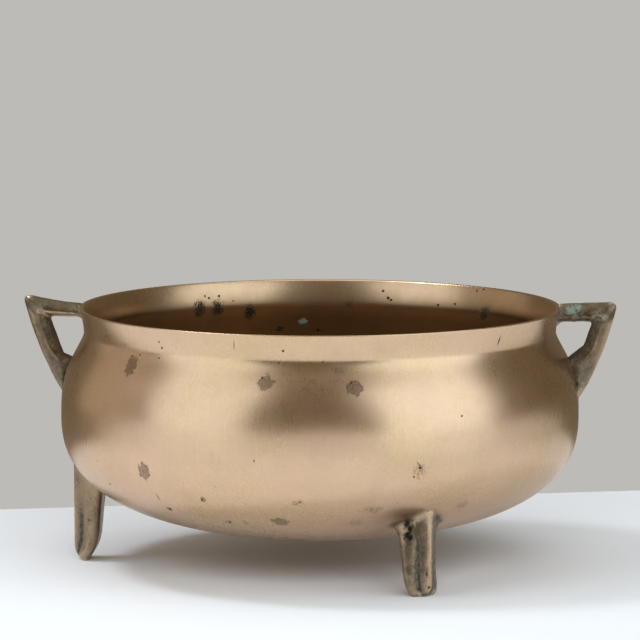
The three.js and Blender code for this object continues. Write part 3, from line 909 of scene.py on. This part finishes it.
# %% Frayed edge and grain
fray, given, result = open_group(
    "frayed edge",
    "ShaderNodeTree",
    [
        ("Distance", "NodeSocketFloat", 1.0),
        ("At", "NodeSocketVector", None),
        ("Grain Scale", "NodeSocketFloat", 0.5),
        ("Fray", "NodeSocketFloat", 0.5),
        ("Softness", "NodeSocketFloat", 0.3),
    ],
    [("Mask", "NodeSocketFloat")],
)
pattern = {"Vector": given["At"], "Scale": given["Grain Scale"], "Detail": 4.0, "Roughness": 0.65}
speckle = put(fray, "ShaderNodeTexNoise", pattern).outputs[0]
strength = sum_of(fray, "MULTIPLY", given["Fray"], 4.0)
offset = sum_of(fray, "MULTIPLY", sum_of(fray, "SUBTRACT", speckle, 0.5), strength)
ragged = sum_of(fray, "ADD", given["Distance"], offset)
start = sum_of(fray, "SUBTRACT", 1.0, given["Softness"])
cut = put(
    fray,
    "ShaderNodeMapRange",
    {"Value": ragged, "From Min": start, "From Max": 1.0, "To Min": 1.0, "To Max": 0.0},
    interpolation_type="SMOOTHSTEP",
)
fray.links.new(cut.outputs[0], result["Mask"])

grain, given, result = open_group(
    "grain",
    "ShaderNodeTree",
    [
        ("At", "NodeSocketVector", None),
        ("Stretch", "NodeSocketVector", (1.0, 1.0, 1.0)),
        ("Scale", "NodeSocketFloat", 0.1),
        ("Detail", "NodeSocketFloat", 3.0),
        ("Low", "NodeSocketFloat", 0.35),
        ("High", "NodeSocketFloat", 0.65),
    ],
    [("Mask", "NodeSocketFloat")],
)
pulled = put(grain, "ShaderNodeVectorMath", {0: given["At"], 1: given["Stretch"]}, operation="MULTIPLY")
pattern = {"Vector": pulled.outputs[0], "Scale": given["Scale"], "Detail": given["Detail"], "Roughness": 0.6}
body = put(grain, "ShaderNodeTexNoise", pattern).outputs[0]
level = put(grain, "ShaderNodeMapRange", {"Value": body, "From Min": given["Low"], "From Max": given["High"]})
grain.links.new(level.outputs[0], result["Mask"])

# %% Start of the bronze
metal = bronze.node_tree
metal.nodes.clear()
place = put(metal, "ShaderNodeTexCoord").outputs["Object"]
at = put(metal, "ShaderNodeVectorMath", {0: place, "Scale": 1000.0}, operation="SCALE").outputs[0]


def nearest_mark(marks):
    """Distance to the nearest of these marks, 1 at its edge."""
    nearest = None
    for centre, turned, sizes in marks:
        values = {"Vector": at, "Location": centre, "Rotation": turned, "Scale": sizes}
        local = put(metal, "ShaderNodeMapping", values, vector_type="TEXTURE").outputs[0]
        distance = put(metal, "ShaderNodeVectorMath", {0: local}, operation="LENGTH").outputs["Value"]
        nearest = distance if nearest is None else sum_of(metal, "MINIMUM", nearest, distance)
    return nearest


def frayed(distance, scale, amount, softness):
    values = {"Distance": distance, "At": at, "Grain Scale": scale, "Fray": amount, "Softness": softness}
    return put(metal, "ShaderNodeGroup", values, node_tree=fray).outputs["Mask"]


def grained(scale, low=0.35, high=0.65, stretch=(1, 1, 1), detail=3.0):
    values = {"At": at, "Stretch": stretch, "Scale": scale, "Detail": detail, "Low": low, "High": high}
    return put(metal, "ShaderNodeGroup", values, node_tree=grain).outputs["Mask"]


def known(name):
    """One of the values stored on the mesh."""
    return put(metal, "ShaderNodeAttribute", attribute_name=name, attribute_type="GEOMETRY").outputs["Fac"]


def tinted(factor, under, over):
    colours = {0: factor, 6: under, 7: over}
    return put(metal, "ShaderNodeMix", colours, data_type="RGBA", blend_type="MIX").outputs[2]


def times(a, b, clamp=False):
    return sum_of(metal, "MULTIPLY", a, b, clamp)


def plus(a, b, clamp=False):
    return sum_of(metal, "ADD", a, b, clamp)


def most(a, b, clamp=False):
    return sum_of(metal, "MAXIMUM", a, b, clamp)


def ramp(value, low, high, top=1.0, **settings):
    """Rises from 0 at low to top at high, and stays there."""
    values = {"Value": value, "From Min": low, "From Max": high, "To Max": top}
    return put(metal, "ShaderNodeMapRange", values, **settings).outputs[0]


stain = frayed(nearest_mark(marks["stains"]), 0.30, 0.50, 0.15)
smudge = frayed(nearest_mark(marks["smudges"]), 0.5, 0.6, 0.7)
pit = frayed(nearest_mark(marks["pits"] + marks["cracks"]), 1.3, 0.45, 0.5)
green = frayed(nearest_mark(marks["greens"]), 0.55, 0.65, 0.5)
corroded = frayed(nearest_mark(marks["corroded"]), 0.8, 0.9, 0.5)

# %% [markdown]
# ## The finish: colour
#
# Scoured bronze is a pale warm tan with golden and pinker clouds. Inside it turns a darker brown,
# more so below the lip, and the limbs are olive. The edges of the limbs and the lip are painted
# brighter, as wear from hands and as a painted highlight, and some sides of the limbs are left
# lighter as painted highlights. Corrosion fills flutes and hollows with grey-green dirt, and the same
# dirt on the handles' sides that face the bowl is also painted shade. The colours are laid in that
# order, from the bare metal up, each through its own mask.

# %% Colours
TAN, GOLD, OLIVE = (0.715, 0.490, 0.335, 1), (0.665, 0.470, 0.278, 1), (0.43, 0.31, 0.175, 1)
INSIDE_BROWN, LIMB_BROWN, BRIGHT = (0.26, 0.166, 0.085, 1), (0.102, 0.075, 0.044, 1), (0.88, 0.70, 0.49, 1)
SCORCH, DIRT_AND_SHADE, GREY_GREEN = (0.17, 0.100, 0.065, 1), (0.030, 0.022, 0.014, 1), (0.17, 0.165, 0.125, 1)
VERDIGRIS, BLACK = (0.175, 0.225, 0.172, 1), (0.022, 0.015, 0.010, 1)

LIP_ZONE = (188.0, 165.0)  # the heights, going down, between which the inside turns darker

limb_mask, inside_mask, rough_mask, dull_and_highlights_mask = map(known, ("limb", "inside", "rough", "dull_and_highlights"))
ridge_wear_and_highlight_mask, crevice_and_shade_mask, flute_mask, fault_mask = map(known, ("ridge", "crevice_and_shade", "flute", "fault"))
cloud, mottle, speck = grained(0.012), grained(0.05, 0.3, 0.7), grained(0.35, 0.35, 0.75)
wipe = grained(1.0, 0.3, 0.7, stretch=(0.035, 0.035, 0.9), detail=2.0)
brush = grained(0.5, 0.3, 0.7, stretch=(1.0, 1.0, 0.06))
worn = grained(0.02, 0.45, 0.62)
fine_pits = times(grained(1.1, 0.64, 0.72), plus(times(worn, 0.6), 0.12))

colour = tinted(cloud, GOLD, TAN)
colour = tinted(times(grained(0.03, 0.5, 0.75), 0.22), colour, OLIVE)
streaks = plus(times(wipe, 0.5), times(brush, 0.6))
colour = tinted(times(times(mottle, streaks), 0.16), colour, OLIVE)
colour = tinted(most(times(speck, 0.06), fine_pits), colour, SCORCH)
up_and_down = put(metal, "ShaderNodeSeparateXYZ", {0: at}).outputs["Z"]
below_the_lip = ramp(up_and_down, *LIP_ZONE)
# Inside, a darker brown that deepens going down from the lip
inside_darkening = plus(times(below_the_lip, 0.62), plus(times(mottle, 0.12), 0.16))
colour = tinted(times(inside_mask, inside_darkening, True), colour, INSIDE_BROWN)
# The limbs' olive-brown tarnish, with the painted highlights left out of it
limb_tarnish_and_highlights = times(dull_and_highlights_mask, plus(times(grained(0.16, 0.3, 0.7), 0.25), 0.86), True)
colour = tinted(limb_tarnish_and_highlights, colour, LIMB_BROWN)
# Convex edges painted brighter, as wear and as a painted highlight
colour = tinted(times(ridge_wear_and_highlight_mask, 0.8), colour, BRIGHT)
flecks = grained(0.8, 0.4, 0.65)
stained, smudged = times(stain, plus(times(flecks, 0.35), 0.52)), times(smudge, times(flecks, 0.8))
scorched = most(stained, smudged, True)
colour = tinted(scorched, colour, SCORCH)

# %% Dirt and painted shade, pits and green
# Small pits all over: a few cells of a Voronoi pattern each hold one
PEPPER_SCALE, PEPPER_FROM, PEPPER_SIZE = 0.085, 0.62, 0.055
cells = put(metal, "ShaderNodeTexVoronoi", {"Vector": at, "Scale": PEPPER_SCALE, "Randomness": 1.0})
chance = put(metal, "ShaderNodeSeparateColor", {0: cells.outputs["Color"]}).outputs[0]
pepper_size = ramp(chance, PEPPER_FROM, 1.0, PEPPER_SIZE)
pepper = sum_of(metal, "LESS_THAN", cells.outputs["Distance"], pepper_size)

dirt_noise = grained(0.45, 0.25, 0.7)
flute_floor = times(sum_of(metal, "POWER", flute_mask, 0.4), 1.5, True)
flute_dirt = times(flute_floor, plus(times(dirt_noise, 0.5), 0.7), True)
# The sides of the handles that face the bowl are darkened here too: dirt, and painted shade
crevice_dirt_and_shade = times(times(crevice_and_shade_mask, limb_mask), plus(dirt_noise, 0.2), True)
rough_dirt = times(rough_mask, plus(times(grained(0.5, 0.42, 0.6), 1.1), 0.15), True)
limb_specks = times(times(limb_mask, grained(0.8, 0.57, 0.66)), 0.8)
crust_and_shade = most(flute_dirt, most(crevice_dirt_and_shade, rough_dirt), True)
crust_and_shade = most(crust_and_shade, limb_specks, True)
pale_dust = times(grained(0.5, 0.42, 0.66), 0.85)
pale_grains = times(grained(0.9, 0.5, 0.7), 0.8)
colour = tinted(times(crust_and_shade, 0.9), colour, tinted(pale_dust, DIRT_AND_SHADE, GREY_GREEN))
colour = tinted(times(corroded, 0.85), colour, tinted(pale_grains, DIRT_AND_SHADE, GREY_GREEN))
ragged_fault = plus(fault_mask, times(plus(grained(0.8, 0.0, 1.0), -0.5), 0.7))
hole = ramp(ragged_fault, 0.25, 0.6, interpolation_type="SMOOTHSTEP")
blackness = most(most(pit, times(pepper, 0.7), True), hole, True)
colour = tinted(times(blackness, 0.9), colour, BLACK)
green_flutes = times(times(flute_mask, grained(0.4, 0.45, 0.7)), 0.6)
green_crust = most(green, green_flutes, True)
colour = tinted(times(green_crust, 0.85), colour, VERDIGRIS)

# %% [markdown]
# ## The finish: polish and relief
#
# The bowl is satin, not mirror bright: its reflections are broad and soft, with a little more
# polish on worn ridges and none in the crusts. Corrosion isn't metal, so it also lowers Metallic.
# Grain, wipe marks, crust and the scattered pits share one height in mm, which a Bump node turns
# into normals. The listed marks stay out of it, because they're flat.

# %% Polish and relief
ROUGHER_BY = [
    (mottle, 0.03),
    (times(inside_mask, below_the_lip), 0.12),
    (limb_tarnish_and_highlights, 0.05),
    (brush, 0.035),
    (ridge_wear_and_highlight_mask, -0.06),
    (scorched, 0.04),
    (most(crust_and_shade, most(blackness, corroded)), 0.45),
]
polish = plus(times(cloud, 0.03), 0.235)
for mask, amount in ROUGHER_BY:
    polish = plus(polish, times(mask, amount))
polish = plus(polish, times(green_crust, 0.5), True)
bare_metal = sum_of(metal, "SUBTRACT", 1.0, times(most(crust_and_shade, green_crust), 0.85), True)

HIGHER_BY = [  # in mm
    (grained(0.33, 0.0, 1.0), 0.003),
    (wipe, 0.0015),
    (times(limb_mask, grained(0.45, 0.0, 1.0)), 0.10),
    (brush, 0.0015),
    (times(crust_and_shade, dirt_noise), 0.30),
    (pepper, -0.15),
]
height = times(grained(0.03, 0.0, 1.0, detail=1.0), 0.04)
for mask, amount in HIGHER_BY:
    height = plus(height, times(mask, amount))
relief = put(metal, "ShaderNodeBump", {"Height": height, "Distance": MM, "Strength": 1.0})

shader = put(
    metal,
    "ShaderNodeBsdfPrincipled",
    {"Base Color": colour, "Metallic": bare_metal, "Roughness": polish, "Normal": relief.outputs[0]},
)
put(metal, "ShaderNodeOutputMaterial", {"Surface": shader.outputs[0]})
print("nodes in the bronze:", len(metal.nodes))

# %% The finished piece
bpy.data.materials.remove(limb_skin)
joined.set_sharp_from_angle(angle=math.radians(60))
casting = object_of("cauldron_casting", joined)
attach(casting, "root")
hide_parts("cauldron")
joined.calc_loop_triangles()
print("triangles:", len(joined.loop_triangles))
